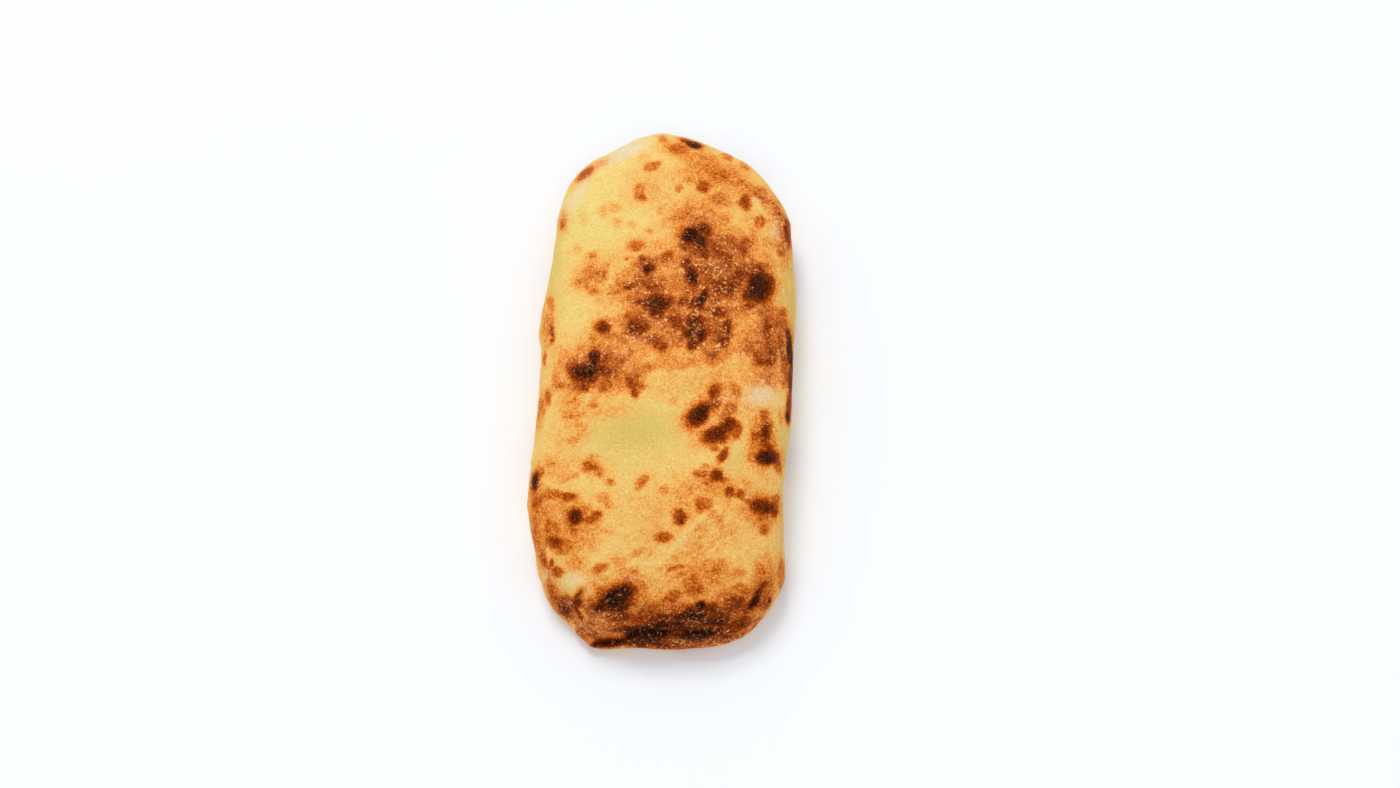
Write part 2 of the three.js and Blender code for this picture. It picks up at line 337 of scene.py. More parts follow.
    "left lobe, fainter": Mark(573, 473, 5, 3, 0, 0.38),
    "left lobe, dot": Mark(549, 463, 4, 3, 0, 0.46),
    "left lobe, top": Mark(541, 470, 3, 5, 0, 0.54),
    "left lobe, streak": Mark(565, 497, 9, 4.5, -5, 0.66),
    "left lobe, band": Mark(553, 495, 11, 5, 0, 0.55),
    "left lobe, round": Mark(574, 516, 7, 7.5, 0, 0.9),
    "left lobe, round's foot": Mark(571, 523, 6, 4, 0, 0.6),
    "left lobe, round's twin": Mark(593, 514, 6, 5.5, 0, 0.64),
    "left lobe, bridge": Mark(586, 520, 6, 4, 0, 0.55),
    "left lobe, drop": Mark(571, 530, 4, 5, 0, 0.5),
    "left lobe, low": Mark(545, 525, 3, 7, 0, 0.52),
    "left lobe, low's twin": Mark(553, 524, 4, 3, 0, 0.5),
    "left lobe, lowest": Mark(553, 542, 10, 6.5, -15, 0.72),
    "left lobe, lowest's tail": Mark(565, 546, 6, 4, -20, 0.55),
    "left lobe, slit": Mark(549.5, 563, 2.5, 4.5, 0, 0.74),
    "left lobe, corner": Mark(556, 573, 5.5, 5, -30, 0.64),
    "left lobe, fleck": Mark(544, 496, 5, 4, 0, 0.52),
    "lower wedge": Mark(717, 473, 6.5, 6, -20, 0.84),
    "lower wedge's tail": Mark(701, 472, 8, 4, 0, 0.58),
    "lower wedge's foot": Mark(721, 480, 7, 3, 0, 0.6),
    "lower wedge's brow": Mark(708, 466, 4, 3, 0, 0.46),
    "lower wedge's left foot": Mark(707, 479, 5, 3, 0, 0.58),
    "lower middle, slanted": Mark(640, 481, 8.5, 4.5, 50, 0.52),
    "lower middle, slanted's foot": Mark(637, 486, 4, 3, 0, 0.42),
    "lower middle, faint": Mark(664, 488, 5, 4, -20, 0.43),
    "lower middle, dot": Mark(675, 477, 1.3, 1.3, 0, 0.48),
    "lower middle, round": Mark(680, 515, 6.5, 7.5, 0, 0.74),
    "lower middle, round's top": Mark(676, 509, 6, 4, 0, 0.5),
    "lower middle, wedge": Mark(705, 502, 9, 6.5, -10, 0.6),
    "lower middle, wedge's foot": Mark(699, 508, 4, 4, 0, 0.58),
    "lower middle, triangle": Mark(663, 536, 9, 6, 0, 0.62),
    "left pocket": Mark(533, 482, 9, 4, 80, 1),
    "right band": Mark(750, 482, 9, 3, -35, 0.36),
    "lower pair, left": Mark(730, 489, 5, 5.5, 0, 0.7),
    "lower pair, right": Mark(741, 492, 4.5, 5, 0, 0.66),
    "near half, faint": Mark(606, 531, 7, 5, 0, 0.34),
    "near half's left, faint": Mark(600, 497, 8, 5, 0, 0.34),
    "wide mark": Mark(764, 505, 13, 7, -4, 0.86),
    "wide mark's tip": Mark(749, 502, 4, 2.5, 0, 0.62),
    "wide mark's end": Mark(776, 508, 4, 8, 0, 0.7),
    "wide mark's foot": Mark(765, 516, 6, 5, 0, 0.54),
    "wide mark's drop": Mark(767, 530, 5, 6, 0, 0.6),
    "wide mark's right": Mark(778, 500, 4, 6, 0, 0.58),
    "lower right, freckle": Mark(714, 515, 4, 5, -30, 0.44),
    "lower right, freckle's twin": Mark(722, 518, 4, 5, 30, 0.44),
    "lower right, line": Mark(700, 527, 6, 2.5, 60, 0.38),
    "lower left lobe": Mark(559, 550, 7, 5, 0, 0.5),
    "near middle, faint": Mark(635, 553, 7, 4, 30, 0.41),
    "near middle, band": Mark(680, 554, 9, 3, 35, 0.36),
    "near middle, streak": Mark(674, 569, 9, 2.5, 15, 0.58),
    "near middle, second": Mark(681, 577, 6, 3, 0, 0.5),
    "near middle, orange": Mark(692, 585, 10, 8, 0, 0.5),
    "near middle, dark orange": Mark(695, 593, 8, 7, 0, 0.57),
    "near middle, bank": Mark(674, 597, 7, 5, 0, 0.56),
    "near middle, brown": Mark(670, 601, 8, 5, 0, 0.6),
    "near right, orange": Mark(716, 568, 5, 5, 0, 0.46),
    "near right, freckled": Mark(741, 572, 7, 5, 0, 0.43),
    "near right, pair": Mark(742, 588, 8, 5, 0, 0.5),
    "near left, orange": Mark(597, 570, 8, 5, 22, 0.52),
    "near left, small": Mark(593, 585, 4, 3, 0, 0.4),
    "near left, low": Mark(592, 625, 5, 3, -10, 0.62),
    "near speckles": Mark(628, 578, 4, 3, 0, 0.62),
    "near speckles, upper": Mark(636, 573, 4, 3, 0, 0.58),
    "near right corner": Mark(764, 574, 5, 5, 0, 0.46),
    "near right streak": Mark(754, 602, 10, 4, 56, 0.92),
    "near right streak's top": Mark(763, 588, 8, 4, 56, 0.66),
    "near black blister": Mark(616, 599, 20, 10.5, 28, 1),
    "near black blister's end": Mark(598, 609, 8.5, 7, 0, 0.86),
    "near black blister's corner": Mark(619, 609, 12, 6.5, 10, 0.88),
    "near black blister's left": Mark(600, 593, 6, 5, 0, 0.64),
    "near black blister's right": Mark(632, 604, 5, 4, 0, 0.68),
    "near orange's brown": Mark(727, 597, 6, 4, 0, 0.52),
    "near left corner": Mark(566, 600, 5.5, 4.5, 0, 0.66),
    "near left tuck": Mark(576, 606, 7.5, 6, 0, 0.82),
    "near left tuck, low": Mark(562, 612, 7, 4, -45, 0.62),
    "near left tuck, right": Mark(583, 602, 5.5, 5, 0, 0.55),
    "near right speck": Mark(771, 602, 1.5, 3, 0, 1),
    "near brown": Mark(735, 604, 11, 8, 0, 0.72),
    "near right rim": Mark(765, 607, 8, 6, 0, 0.66),
    "near right blister": Mark(702, 607.5, 6, 5.5, 0, 1),
    "near right blister's foot": Mark(699, 617, 7, 6, 0, 0.88),
    "near right blister's bank": Mark(687, 617, 12, 6, 0, 0.88),
    "near right blister's right": Mark(713, 609, 7, 6, 0, 0.82),
    "near right blister's left": Mark(693, 612, 7, 5, 0, 0.78),
    # From here on, these marks along the near seam and foot are partly charred crust and partly painted
    # shade in the crease and where the lip meets the floor
    "near middle foot, dark": Mark(690, 620, 6, 3, 0, 0.86),
    "near band, right": Mark(714, 623, 20, 5, -8, 0.88),
    "near seam, dark": Mark(660, 625, 7, 3, 0, 0.92),
    "near crease, left": Mark(624, 630, 9, 4, 0, 0.82),
    "near foot, left": Mark(610, 640, 16, 5, 0, 0.9),
    "near foot, middle": Mark(644, 633, 24, 8, 0, 1.05),
    "near foot, lower": Mark(657, 640, 12, 4, 0, 0.86),
    "near foot, right": Mark(698, 633, 19, 5, 6, 1),
    "near foot, end": Mark(718, 630, 8, 3.5, 8, 0.82),
    "near foot, bridge": Mark(673, 638, 8, 3, 0, 0.84),
}

# Flour and scuffed skin, which leave a pale veil, and one painted highlight at the start of the far right
# shoulder's fold
VEILS = {
    "far end": Mark(626, 149, 32, 9, 27, 1),
    "far left edge": Mark(577, 193, 27, 8, 58, 0.85),
    # a painted highlight, not flour or a scuff
    "fold's start": Mark(754, 197, 4, 4, 0, 0.7),
    "right shoulder": Mark(777, 229, 5, 12, 0, 0.7),
    "upper right": Mark(716, 264, 10, 5, 0, 0.35),
    "upper right's foot": Mark(726, 270, 7, 5, 0, 0.35),
    "left reddening": Mark(597, 265, 9, 4, 0, 0.15),
    "left reddening's foot": Mark(605, 298, 6, 9, 0, 0.4),
    "upper middle": Mark(705, 303, 6, 4, 0, 0.15),
    "middle left's bank": Mark(638, 319, 5, 4, 0, 0.3),
    "middle left's foot": Mark(634, 337, 8, 4, 0, 0.35),
    "left edge": Mark(556, 322, 3, 16, 0, 0.5),
    "middle right's heart": Mark(696, 334, 3, 6, 0, 0.3),
    "ring's bank": Mark(709, 349, 8, 6, 0, 0.18),
    "left twin's bank": Mark(568, 350, 8, 9, 0, 0.35),
    "left twin's edge": Mark(560, 378, 4, 5, 0, 0.5),
    "left twin's foot": Mark(586, 397, 5, 6, 0, 0.4),
    "right edge": Mark(784, 375, 3, 5, 0, 0.5),
    "middle brown's right": Mark(638, 388, 3, 4, 0, 0.35),
    "right white patch": Mark(763, 396, 20, 13, 0, 0.85),
    "slipper's bank": Mark(724, 398, 8, 5, 0, 0.45),
    "slipper's gap": Mark(712, 420, 11, 4, 40, 0.5),
    "lower wedge's top": Mark(701, 467, 7, 3, 0, 0.4),
    "right bell's foot": Mark(773, 471, 6, 4, 0, 0.5),
    "left lobe, fold": Mark(537, 494, 8, 3, 65, 0.4),
    "left lobe, pale": Mark(557, 514, 6, 6, 0, 0.4),
    "near half, pale": Mark(721, 530, 9, 5, 0, 0.3),
    "wrinkle": Mark(687, 534, 34, 3.5, 44, 0.5),
    "wrinkle's foot": Mark(660, 549, 14, 4, 20, 0.3),
    "left strip": Mark(547, 552, 14, 2.5, -85, 0.5),
    "left strip, near": Mark(549, 578, 9, 3, -65, 0.5),
    "near wrinkles": Mark(645, 564, 14, 5, 10, 0.4),
    "near speckles": Mark(632, 575, 8, 5, 0, 0.6),
    "near left rim": Mark(543, 577, 5, 8, -20, 0.7),
    "near cream": Mark(572, 580, 14, 7, 0, 0.8),
    "near left tuck": Mark(569, 605, 4, 3, 0, 0.5),
    "near left foot": Mark(575, 627, 7, 6, 0, 0.5),
    "near lip, pale": Mark(686, 645, 12, 3, 0, 0.25),
}

# Raw dough where the heat didn't reach, and painted shade on the sloping side strips and in the hollow:
# duller and greener
RAW_AND_SHADED = {
    "far left": Mark(600, 225, 30, 40, 20, 0.12),
    "left strip": Mark(554, 268, 6, 40, -6, 0.6),
    "right strip": Mark(787, 288, 7, 36, -5, 0.9),
    "right strip, lower": Mark(785, 440, 7, 20, 5, 0.7),
    "right strip, near": Mark(782, 520, 6, 30, 0, 0.5),
    "above the slipper": Mark(688, 386, 16, 9, 20, 0.7),
    "hollow": Mark(632, 428, 46, 22, 5, 1),
    "right middle": Mark(738, 462, 12, 16, 0, 0.6),
}

# How a mark lies on the crust. Its reach is where it has faded to a half, in its half-sizes.
MARK_DEPTH = 2.2  # how far it goes away from the camera, in its middling half-size
MARK_MARGIN = 6  # and how many pixels more
TURNED_AWAY = 4  # how fast it ends where the crust turns away from the camera
SHOWS = 0.05  # a point shows where it faces the camera more than this
SAME_PLACE = 2  # pixels between points that fall in one place of the picture
SOFT_EDGE = 3  # how steeply blooms, veils, raw dough with its painted shade, and folds fade
BLOOM_REACH = 1.15
SCORCH_REACH, SCORCH_EDGE = 1.42, 5
SCORCH_SHRINK = 0.3  # how much less far a black mark reaches
GLOW_STRENGTH, GLOW_REACH, GLOW_EDGE = 0.58, 1.8, 3.5  # of the toasted skin round a scorch mark
BLISTER_RISE, BLISTER_REACH = 0.18, 1.3  # of the blister under it, in half-sizes
LAYER_POWER = 6  # how little marks add where they meet
VEIL_COVER = 0.45  # how much of the toast a full veil takes away

# Folds of the skin: their way in pixels, depth (below 0 for a ridge) and half-width in millimetres,
# and how dark the crust is in them, partly baked and partly painted shade in the groove
Fold = namedtuple("Fold", "way depth half_width strength")
SHOULDER_WAY = [(756, 194), (763, 196), (770, 199), (776, 205), (781, 213), (784, 224), (787, 240)]
FOLDS = {
    "far right shoulder": Fold(SHOULDER_WAY, 1.2, 1, 0.76),
    "right side": Fold([(778, 262), (785, 300), (787, 320), (790, 335)], 0.4, 0.8, 0.15),
    "right edge": Fold([(792, 334), (794, 366)], 0.5, 1, 0.9),
    "middle streak": Fold([(710, 287), (706, 296), (703, 304)], 0.6, 0.9, 0.6),
    "left edge": Fold([(550, 320), (552, 329), (553, 336)], 0.6, 0.7, 0.6),
    "left pocket": Fold([(546, 491), (540, 497), (534, 504), (531, 510)], 0.8, 1.1, 0.62),
    "wrinkle": Fold([(655, 570), (676, 546), (695, 522), (714, 507)], -0.5, 1.3, 0),
    "near wrinkle, upright": Fold([(652, 554), (648, 561)], 0.35, 0.7, 0.36),
    "near wrinkle, level": Fold([(630, 570), (645, 569), (662, 570)], 0.25, 0.6, 0.36),
    "near left tuck": Fold([(582, 592), (577, 599), (575, 608), (579, 617)], 1.6, 1.3, 0.95),
    "near right corner": Fold([(767, 582), (760, 591), (754, 602), (748, 613)], 1, 1.4, 0.66),
    "near band, right": Fold([(705, 611), (720, 617), (736, 622), (746, 620)], 1, 1, 0.75),
    "near seam, upper": Fold([(648, 626), (662, 626), (682, 625)], 0.8, 0.8, 0.9),
    "near seam, left": Fold([(598, 643), (612, 640), (626, 636), (642, 631), (662, 630)], 2.6, 1.9, 0.95),
    "near seam, right": Fold([(682, 634), (698, 633), (714, 631), (728, 628), (743, 627)], 1.6, 1.2, 0.85),
}
BANK_HEIGHT, BANK_PLACE = 0.35, 2.2  # of the bank beside a fold, in the fold's depth and half-width

# Where fine creases run through the skin, along the mark. Its strength is how much darker the colour is
# painted in their grooves and lighter on their ridges: painted shade and light.
CREASES = Mark(704, 538, 52, 26, 41, 0.1)
CREASE_EDGE = 4
CREASE_LENGTH = 4  # in the width of a crease
CREASE_WIDTH, CREASE_DEPTH = 1.6 * MM, 0.1 * MM

# Scorch marks strewn over the sides, the far end and the base, which the picture doesn't show
UNSEEN_MARKS = 150
UNSEEN_SEED = 7
UNSEEN_SIZES = 1 * MM, 7 * MM
UNSEEN_STRENGTHS = 0.35, 0.9
UNSEEN_FLATNESS = 1.5  # how much longer they are along the side than up it
UNSEEN_FACING = 0.1  # the crust begins to be unseen where it faces the camera less than this
UNSEEN_BLEND = 0.2  # and is wholly unseen where it faces the camera this much less

# Layers of smooth noise: height, wavelength in millimetres, and where in the noise they begin
Wave = namedtuple("Wave", "height length start")
FRAYS = [Wave(0.45 * MM, 7, 0), Wave(0.3 * MM, 3.5, 9)]  # how far the edges of marks stray
FRAY_SEED = 7
UNEVENNESS = [Wave(0.5 * MM, 24, 2), Wave(0.3 * MM, 9, 5), Wave(0.12 * MM, 3.5, 7)]  # of the crust's surface
DOUGH_CLOUDS = [Wave(0.1, 20, 0)]  # of the bake outside the marks
TOAST_CLOUDS = [Wave(0.14, 11, 4), Wave(0.16, 5, 8), Wave(0.12, 2.5, 0)]  # of the bake everywhere
FOLD_GAPS = [Wave(0.5, 4, 3)]  # of the darkening in folds, partly bake and partly painted shade
UNSEEN_CLOUDS = [Wave(1, 18, 6)]

# How far the crust is baked
DOUGH_BAKE = 0.055  # outside the marks
FOLD_BAKE_AND_SHADE = 0.8  # in folds, as a share of their strength: partly bake, partly painted shade in the groove
SIDE_BAKE = 0.16, 0.14  # on the unseen sides, and how much it varies
BASE_BAKE = 0.4, 0.2
BASE_FACING = 0.4, 0.9  # how much the crust faces down, from side to base
STONE_BAKE = 0.42, 0.2  # low on the side, where the stone is near
STONE_REACH = 5 * MM
FULL_RELIEF = 6 * MM  # height above the base from which the crust has its whole relief

# How strong the clouds are: values of the grit or the bake, and shares
CLOUDS_BY_GRIT = (0.125, 0.5), (0.25, 1)
CLOUDS_BY_BAKE = (0.55, 0.83), (1, 0.3)

# How gritty the toasted crust is along the loaf: places in millimetres, and shares
GRIT_PLACES = -105, -88, -45, -5, 72, 88
GRIT_SHARES = 1, 0.55, 0.55, 1, 1, 0.5

# Colours of the crust on the screen, from 0 to 255, by how far it is baked or darkened by painted shade in
# folds, creases and the near seam
CRUST_COLOURS = {
    0.0: (247, 220, 132),
    0.25: (248, 184, 97),
    0.38: (241, 146, 59),
    0.5: (209, 107, 30),
    0.6: (178, 77, 10),
    0.72: (138, 54, 6),
    0.85: (94, 36, 5),
    1.0: (38, 17, 5),
}
# Raw dough's duller, greener colour, which also paints shade on the sloping side strips and in the hollow
RAW_AND_SHADE_COLOUR = (216, 188, 96)
# Flour specks' colour, which also paints tiny glints
FLOUR_AND_GLINT_COLOUR = (251, 196, 136)
CREAM_COLOUR = (238, 219, 190)
# Powder's colour, which also paints peach highlights on the toast
POWDER_AND_HIGHLIGHT_COLOUR = (250, 172, 104)
MIX_SOCKETS = 6, 7, 2  # of a mix node: its two colours and its result
STUDIO_LIGHT = 1.06  # light on the top of the loaf, where 1 shows a white thing as white

# Grains in the crust's colour: their size, and the detail and curl of their noise
Grain = namedtuple("Grain", "size detail curl")
COARSE_GRAIN = Grain(2.2 * MM, 2, 0.8)
FINE_GRAIN = Grain(0.75 * MM, 1, 0.5)
SPECK_GRAIN = Grain(1.2 * MM, 2, 0.7)
CLUSTER_GRAIN = Grain(5 * MM, 2, 0)
POWDER_GRAIN = Grain(1.8 * MM, 2, 1)
GRAIN_ROUGHNESS = 0.6
GRAIN_RANGE = 0.3, 0.7  # where nearly all of the noise lies
COARSE_BAKE = -0.055, 0.055  # how much less and more the grains are baked
FINE_BAKE = -0.105, 0.08
COARSE_SHADE = 0.03, -0.03  # how much lighter and darker the grains are
FINE_SHADE = 1.12, 0.88
SPECK_RANGE = 0.645, 0.725  # of the noise, from no speck to a full one
SPECKS_BY_VEIL = 0.15  # how much a veil adds to the noise
SPECK_COVER = 0.66
SPECK_CLEARING = 0.65  # share of the bake that is left under a speck
# Cream over veils: scuffs, and one painted highlight
CREAM_COVER, CREAM_POWER = 0.75, 3
GLOSS = 0.03
BUMP_STRENGTH, BUMP_DEPTH = 0.4, 0.2 * MM
COARSE_BUMP = 0.6  # of the coarse grain beside the fine one

# The studio
FLOOR_SIZE = 6
FLOOR_COLOUR = (0.93, 0.955, 0.98, 1)
FLOOR_ROUGHNESS = 0.9
SKY_COLOUR = (0.95, 1, 1.05, 1)
SKY_STRENGTH = 0.66


def camera_axes():
    """The camera's place, and its right, up and forward directions."""
    cosine = math.cos(CAMERA_ELEVATION)
    sine = math.sin(CAMERA_ELEVATION)
    right = np.array((1.0, 0, 0))
    up = np.array((0, sine, cosine))
    forward = np.array((0, cosine, -sine))
    return CAMERA_AIM - CAMERA_DISTANCE * forward, right, up, forward


def to_pixels(points):
    """Where points fall in the picture: across and down, and their distance from the camera in pixels."""
    eye, right, up, forward = camera_axes()
    ray = points - eye
    depth = ray @ forward
    across = PICTURE_WIDTH / 2 + ray @ right / depth * PIXELS_PER_RADIAN
    down = PICTURE_HEIGHT / 2 - ray @ up / depth * PIXELS_PER_RADIAN
    return np.stack((across, down, depth / PIXEL), 1)


def evaluated(loaf):
    """A new mesh with the loaf's modifiers applied."""
    return bpy.data.meshes.new_from_object(loaf.evaluated_get(bpy.context.evaluated_depsgraph_get()))


def fine_loaf():
    """A copy of the CAD loaf, smoothed by subdivision, with cells of even size."""
    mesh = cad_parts["loaf"].data.copy()
    mesh.name = "crust"
    work = bmesh.new()
    work.from_mesh(mesh)
    bmesh.ops.remove_doubles(work, verts=work.verts, dist=WELD_DISTANCE)
    bmesh.ops.join_triangles(
        work, faces=work.faces, angle_face_threshold=WIDEST_JOIN, angle_shape_threshold=WIDEST_JOIN
    )
    work.to_mesh(mesh)
    work.free()
    loaf = bpy.data.objects.new("crust", mesh)
    bpy.context.scene.collection.objects.link(loaf)
    loaf.modifiers.new("smooth", "SUBSURF").levels = SUBDIVISIONS
    smooth = evaluated(loaf)
    even = loaf.modifiers.new("even", "REMESH")
    even.mode = "VOXEL"
    even.voxel_size = CELL
    loaf.data = evaluated(loaf)
    loaf.modifiers.clear()
    draw_onto(loaf.data, smooth)
    return loaf


def draw_onto(mesh, target):
    """Moves a mesh's vertices to the nearest places on a target mesh."""
    tree = BVHTree.FromPolygons([v.co for v in target.vertices], [p.vertices for p in target.polygons])
    for vertex in mesh.vertices:
        vertex.co = tree.find_nearest(vertex.co)[0]
    mesh.update()


def read(collection, field):
    """One row of three numbers for each vertex."""
    values = np.empty(len(collection) * 3, np.float32)
    collection.foreach_get(field, values)
    return values.reshape(-1, 3).astype(float)


def noise_at(points, length, start=0):
    """Smooth noise from about -1 to 1 at each point."""
    return np.array([noise.noise(Vector(place)) for place in points / length + start])


def waves_at(points, waves):
    """Layers of smooth noise at each point, added up."""
    return sum(wave.height * noise_at(points, wave.length * MM, wave.start) for wave in waves)


def strays_at(points, waves):
    """Layers of smooth noise along all three axes at each point, added up."""
    noise.seed_set(FRAY_SEED)  # unseeded, this noise differs from run to run
    total = np.zeros_like(points)
    for wave in waves:
        places = points / (wave.length * MM) + wave.start
        total += wave.height * np.array([noise.noise_vector(Vector(place)) for place in places])
    return total


class Surface:
    """The loaf's points and normals, and where they fall in the picture."""

    def __init__(self, mesh):
        self.points = read(mesh.vertices, "co")
        self.normals = read(mesh.vertices, "normal")
        sight = camera_axes()[0] - self.points
        sight /= np.linalg.norm(sight, axis=1, keepdims=True)
        self.facing = (self.normals * sight).sum(1)
        self.pixels = to_pixels(self.points)
        self.frayed = self.points + strays_at(self.points, FRAYS)
        self.frayed_pixels = to_pixels(self.frayed)

    def under(self, across, down):
        """The point that shows at a pixel, or the nearest one at the loaf's edge."""
        gap = np.hypot(self.pixels[:, 0] - across, self.pixels[:, 1] - down)
        gap[self.facing <= SHOWS] = np.inf
        near = np.flatnonzero(gap < gap.min() + SAME_PLACE)
        return near[self.pixels[near, 2].argmin()]

    def spread(self, mark):
        """Distance of every point from a mark's centre in half-sizes, more where the crust turns away."""
        centre = self.under(mark.across, mark.down)
        right, down, away = (self.frayed_pixels - self.pixels[centre]).T
        turn = math.radians(mark.turn)
        along = (math.cos(turn) * right - math.sin(turn) * down) / mark.long
        across = (math.sin(turn) * right + math.cos(turn) * down) / mark.wide
        away /= MARK_DEPTH * math.sqrt(mark.long * mark.wide) + MARK_MARGIN
        unseen = TURNED_AWAY * np.clip(-self.facing, 0, None)
        return np.sqrt(along**2 + across**2 + away**2 + unseen**2)

    def fold_distance(self, fold):
        """Distance of every point from a fold's line, in the fold's half-widths."""
        line = [self.points[self.under(across, down)] for across, down in fold.way]
        nearest = np.full(len(self.points), np.inf)
        for start, end in zip(line, line[1:]):
            step = end - start
            share = np.clip((self.frayed - start) @ step / (step @ step), 0, 1)
            gap = np.linalg.norm(self.frayed - start - share[:, None] * step, axis=1)
            nearest = np.minimum(nearest, gap)
        return nearest / (fold.half_width * MM)


def layered(layers):
    """Strengths laid over each other: the strongest shows, and where several meet they add a little."""
    powers = sum(np.clip(layer, 0, None) ** LAYER_POWER for layer in layers)
    return np.minimum(powers ** (1 / LAYER_POWER), 1)


def fade(distance, reach, edge):
    """1 at no distance, a half at the reach."""
    return 1 / (1 + (distance / reach) ** edge)


def blister(distance):
    """Height of a blister: 1 in the middle, falling smoothly to 0 at its reach."""
    return np.clip(1 - (distance / BLISTER_REACH) ** 2, 0, None) ** 2


Strewn = namedtuple("Strewn", "vertex size strength")


def strewn_marks(surface):
    """Scorch marks on the crust that the picture doesn't show."""
    chance = np.random.default_rng(UNSEEN_SEED)
    unseen = np.flatnonzero(surface.facing < UNSEEN_FACING)
    smallest, largest = UNSEEN_SIZES
    marks = []
    for vertex in chance.choice(unseen, UNSEEN_MARKS, replace=False):
        size = smallest + (largest - smallest) * chance.random() ** 2
        marks.append(Strewn(vertex, size, chance.uniform(*UNSEEN_STRENGTHS)))
    return marks


def strewn_distance(surface, mark):
    """Distance of every point from a strewn mark, in mark sizes."""
    offset = surface.frayed - surface.points[mark.vertex]
    offset[:, 2] *= UNSEEN_FLATNESS
    return np.linalg.norm(offset, axis=1) / mark.size


def creases(surface):
    """Lines of fine creases, from about -1 to 1."""
    turn = math.radians(CREASES.turn)
    x, y, z = surface.points.T
    along = math.cos(turn) * x + math.sin(turn) * y
    across = math.cos(turn) * y - math.sin(turn) * x
    lines = noise_at(np.stack((along / CREASE_LENGTH, across, z), 1), CREASE_WIDTH)
    return lines * fade(surface.spread(CREASES), 1, CREASE_EDGE)


def crust_relief(surface, strewn):
    """How far the crust stands out of the smooth loaf: blisters, folds, creases and slow unevenness."""
    relief = waves_at(surface.points, UNEVENNESS) - CREASE_DEPTH * creases(surface)
    for mark in SCORCHES_AND_SEAM_SHADE.values():
        size = min(mark.long, mark.wide) * PIXEL
        relief += BLISTER_RISE * mark.strength * size * blister(surface.spread(mark))
    for mark in strewn:
        relief += BLISTER_RISE * mark.strength * mark.size * blister(strewn_distance(surface, mark))
    for fold in FOLDS.values():
        distance = surface.fold_distance(fold)
        relief -= fold.depth * MM * np.exp(-distance**2)
        relief += BANK_HEIGHT * abs(fold.depth) * MM * np.exp(-((distance - BANK_PLACE) ** 2))
    return relief * np.clip(surface.points[:, 2] / FULL_RELIEF, 0, 1)


def raise_crust(mesh, surface, strewn):
    """Moves the mesh out by the crust's relief, but not below the floor."""
    moved = surface.points + crust_relief(surface, strewn)[:, None] * surface.normals
    moved[:, 2] = np.maximum(moved[:, 2], 0)
    mesh.vertices.foreach_set("co", moved.astype(np.float32).ravel())
    mesh.update()


def scorch(strength, distance):
    """The layers of a scorch mark: its dark middle, and a glow round it."""
    reach = SCORCH_REACH - SCORCH_SHRINK * strength
    middle = strength * fade(distance, reach, SCORCH_EDGE)
    glow = GLOW_STRENGTH * strength * fade(distance, GLOW_REACH, GLOW_EDGE)
    return middle, glow


def soft_layers(surface, marks, reach=1):
    """One layer for each mark of a kind that fades softly."""
    return [mark.strength * fade(surface.spread(mark), reach, SOFT_EDGE) for mark in marks.values()]


def toast_and_shade(surface):
    """How far the marks and folds in the picture are baked, with painted shade in the folds and along the
    near seam, and the broad part of that.
    """
    layers = [DOUGH_BAKE + waves_at(surface.points, DOUGH_CLOUDS)]
    layers += soft_layers(surface, BLOOMS, BLOOM_REACH)
    broad = layered(layers)
    for mark in SCORCHES_AND_SEAM_SHADE.values():
        layers += scorch(mark.strength, surface.spread(mark))
    unbroken = np.clip(FOLD_BAKE_AND_SHADE + waves_at(surface.points, FOLD_GAPS), 0, 1)
    for fold in FOLDS.values():
        # the folds darken the crust along their groove: partly bake, partly painted shade
        layers.append(fold.strength * fade(surface.fold_distance(fold), 1, SOFT_EDGE) * unbroken)
    return layered(layers), broad


def unseen_toast(surface, strewn):
    """How far the crust that the picture doesn't show is baked."""
    unseen = np.clip((UNSEEN_FACING - surface.facing) / UNSEEN_BLEND, 0, 1)
    on_base = np.interp(-surface.normals[:, 2], BASE_FACING, (0, 1))
    near_stone = np.exp(-surface.points[:, 2] / STONE_REACH)
    clouds = waves_at(surface.points, UNSEEN_CLOUDS)
    layers = []
    for (level, change), share in ((SIDE_BAKE, 1), (BASE_BAKE, on_base), (STONE_BAKE, near_stone)):
        layers.append((level + change * clouds) * share)
    for mark in strewn:
        layers += scorch(mark.strength, strewn_distance(surface, mark))
    return unseen * layered(layers)


def clouded(points, bake_and_shade, grit):
    """The bake and its painted shade, with clouds in it that are fainter on smooth crust and on burnt crust.
    """
    gritty = np.interp(grit, *CLOUDS_BY_GRIT)
    unburnt = np.interp(bake_and_shade, *CLOUDS_BY_BAKE)
    return bake_and_shade + waves_at(points, TOAST_CLOUDS) * gritty * unburnt


def set_field(mesh, name, values):
    """Keeps one number for each vertex in the mesh."""
    mesh.attributes.new(name, "FLOAT", "POINT").data.foreach_set("value", values.astype(np.float32))


